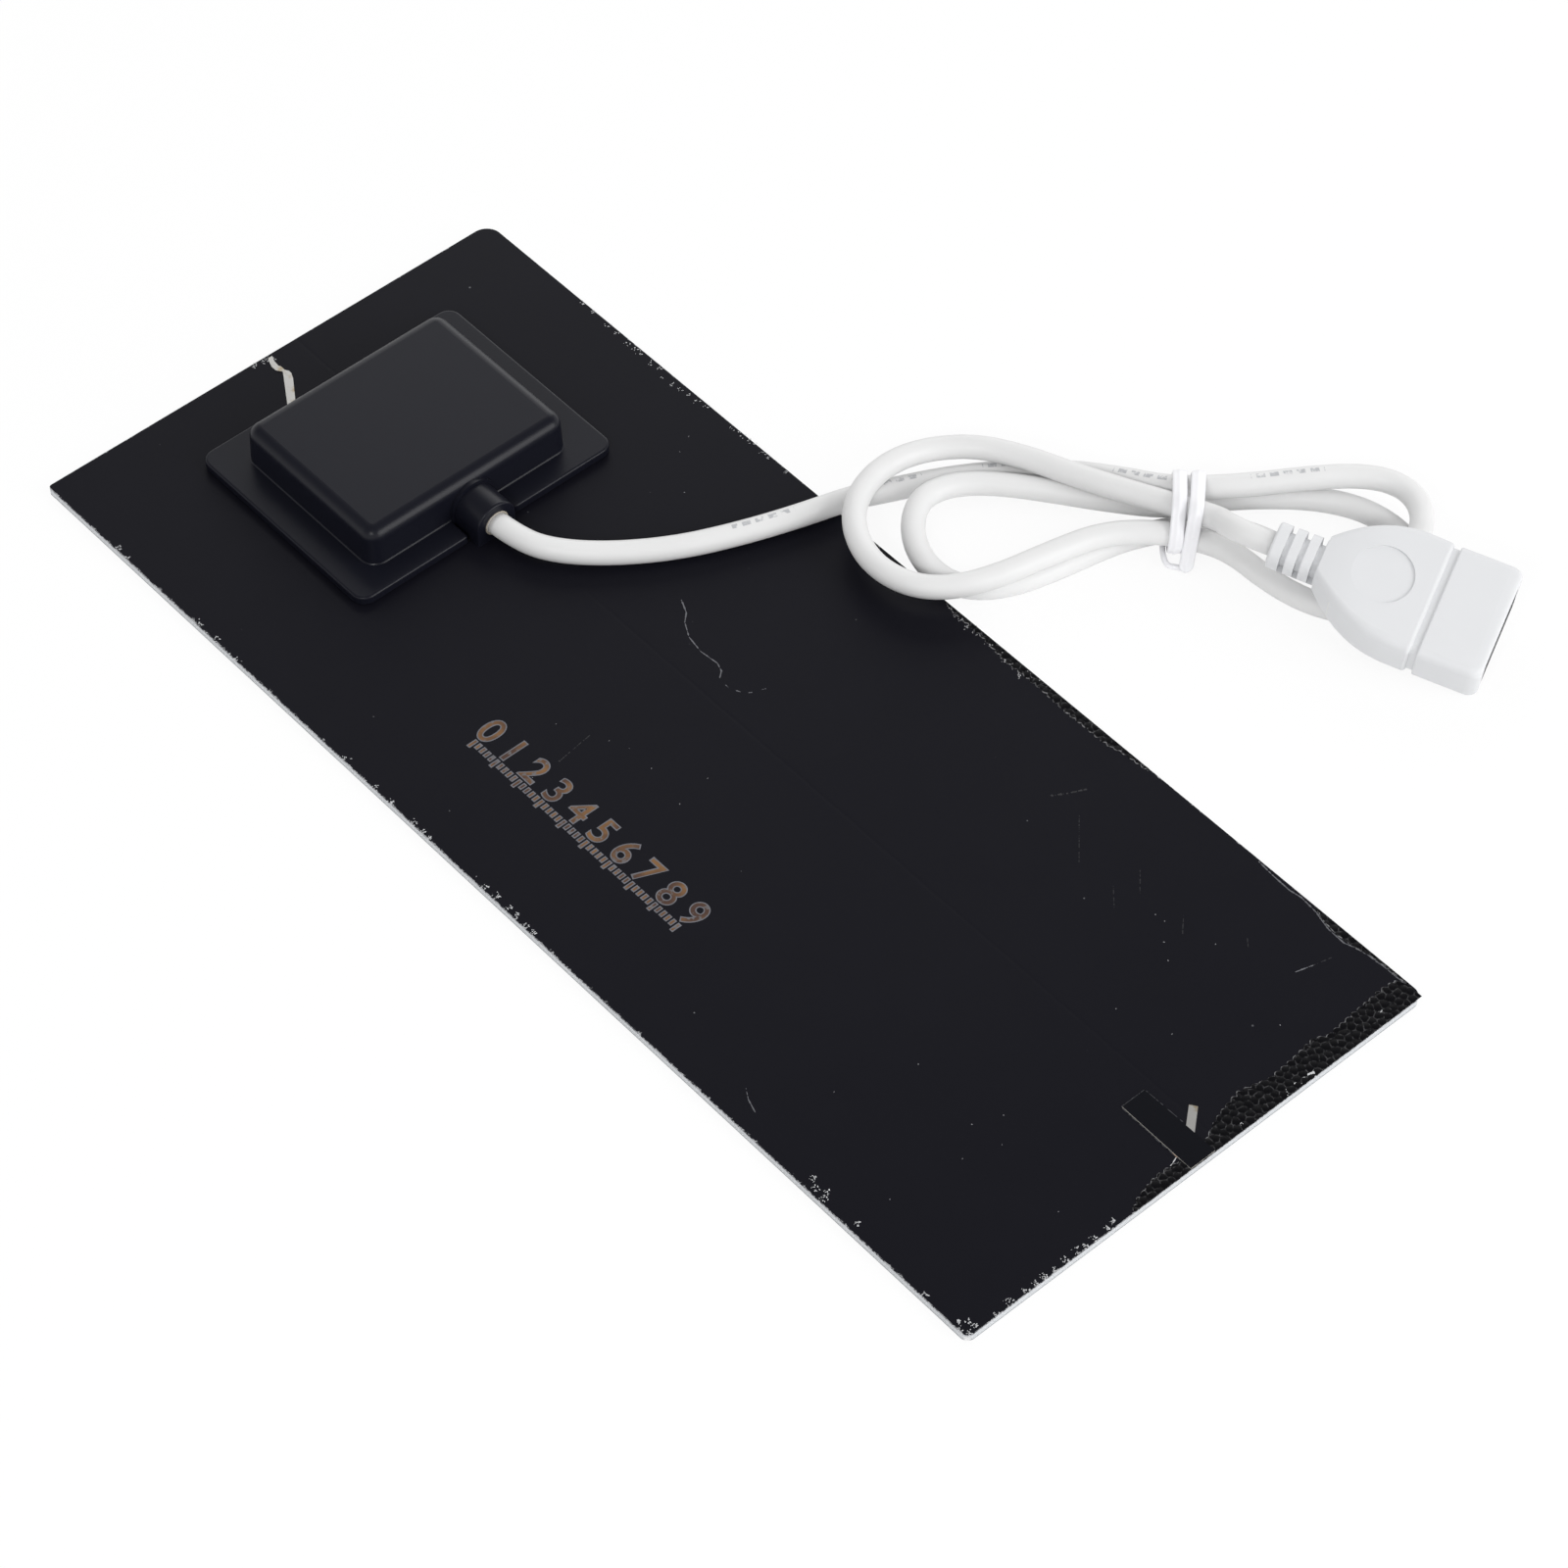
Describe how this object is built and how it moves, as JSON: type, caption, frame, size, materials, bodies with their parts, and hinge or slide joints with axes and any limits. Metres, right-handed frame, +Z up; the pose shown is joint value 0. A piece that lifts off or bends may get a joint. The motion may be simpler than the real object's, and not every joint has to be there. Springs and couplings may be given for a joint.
{
  "type": "flexible solar sheet",
  "caption": "Thin flexible solar sheet lying cells down, with a flat junction box on its black back and a short white cord, tied in a hank, that ends in a USB socket.",
  "frame": {"origin": "centre of the sheet's outline, on the surface that its cell side lies on", "axes": "+X along the sheet away from the junction box, +Y across it towards the cord's hank, +Z up, out of the black back"},
  "size_m": [0.188, 0.1389, 0.0128],
  "materials": {
    "clear_front_film": "clear satin plastic film over the cells",
    "clear_encapsulant": "clear cast encapsulant",
    "silicon": "dark blue silicon cell with fine grid lines",
    "tinned_copper": "bright tinned copper ribbon",
    "board_white": "white glass-fibre board, seen at the cut edge",
    "black_film": "satin black backing film",
    "black_tape": "smooth black film strip",
    "box_black": "satin black moulded plastic",
    "black_adhesive": "black silicone adhesive",
    "foam_tape": "white foam tape",
    "circuit_green": "green solder resist",
    "chip_black": "black epoxy package",
    "ferrite_grey": "grey ferrite",
    "ceramic_tan": "tan ceramic",
    "solder": "bright solder",
    "wire_red": "red insulation",
    "wire_black": "black insulation",
    "cord_white": "white satin vinyl",
    "sealant": "pale beige sealant",
    "tie_white": "glossy white vinyl over a wire core",
    "overmould_white": "white moulded vinyl",
    "inner_white": "white moulded polyethylene",
    "shell_steel": "bright tin-plated steel",
    "insulator_white": "white glass-filled nylon",
    "contact_gold": "gold-plated spring bronze"
  },
  "bodies": {
    "sheet_and_cord": {"front_film": "clear_front_film", "front_encapsulant": "clear_encapsulant", "solar_cells": "silicon", "cell_interconnects": "tinned_copper", "positive_bus_ribbon": "tinned_copper", "negative_bus_ribbon": "tinned_copper", "string_link_ribbon": "tinned_copper", "rear_encapsulant": "clear_encapsulant", "support_board": "board_white", "back_film": "black_film", "positive_lead_ribbon": "tinned_copper", "negative_lead_ribbon": "tinned_copper", "end_ribbon_tab": "tinned_copper", "ribbon_cover_tape": "black_tape", "box_adhesive": "black_adhesive", "junction_box_cover": "box_black", "board_foam_tape": "foam_tape", "circuit_board": "circuit_green", "regulator_chip": "chip_black", "power_inductor": "ferrite_grey", "schottky_diode": "chip_black", "input_capacitor": "ceramic_tan", "output_capacitor": "ceramic_tan", "feedback_resistors": "chip_black", "board_solder_joints": "solder", "red_wire_box_end": "wire_red", "black_wire_box_end": "wire_black", "cord_jacket_box_end": "cord_white", "gland_sealant": "sealant", "cord_lead": "cord_white", "cord_hank": "cord_white", "cord_tail": "cord_white", "cable_tie": "tie_white", "connector_overmould": "overmould_white", "inner_mould": "inner_white", "socket_shell": "shell_steel", "socket_insulator": "insulator_white", "red_wire_socket_end": "wire_red", "black_wire_socket_end": "wire_black", "cord_jacket_socket_end": "cord_white", "contact_tail_1": "contact_gold", "contact_tail_2": "contact_gold", "contact_tail_3": "contact_gold", "contact_tail_4": "contact_gold"},
    "contact_springs": {"contact_spring_1": "contact_gold", "contact_spring_2": "contact_gold", "contact_spring_3": "contact_gold", "contact_spring_4": "contact_gold"},
    "upper_grips": {"upper_grip_springs": "shell_steel"},
    "lower_grips": {"lower_grip_springs": "shell_steel"}
  },
  "joints": [
    {"name": "contacts_press", "type": "hinge", "parent": "sheet_and_cord", "child": "contact_springs", "pos_m": [0.05244, 0.08392, 0.00656], "axis": [0.3989, -0.8822, -0.2501], "range_deg": [0, 4.4], "stiffness_Nm_per_rad": 0.05},
    {"name": "upper_grips_press", "type": "hinge", "parent": "sheet_and_cord", "child": "upper_grips", "pos_m": [0.05274, 0.08334, 0.00907], "axis": [0.3989, -0.8822, -0.2501], "range_deg": [0, 3.8], "stiffness_Nm_per_rad": 0.08},
    {"name": "lower_grips_press", "type": "hinge", "parent": "sheet_and_cord", "child": "lower_grips", "pos_m": [0.05154, 0.08428, 0.00387], "axis": [-0.3989, 0.8822, 0.2501], "range_deg": [0, 3.8], "stiffness_Nm_per_rad": 0.08}
  ]
}
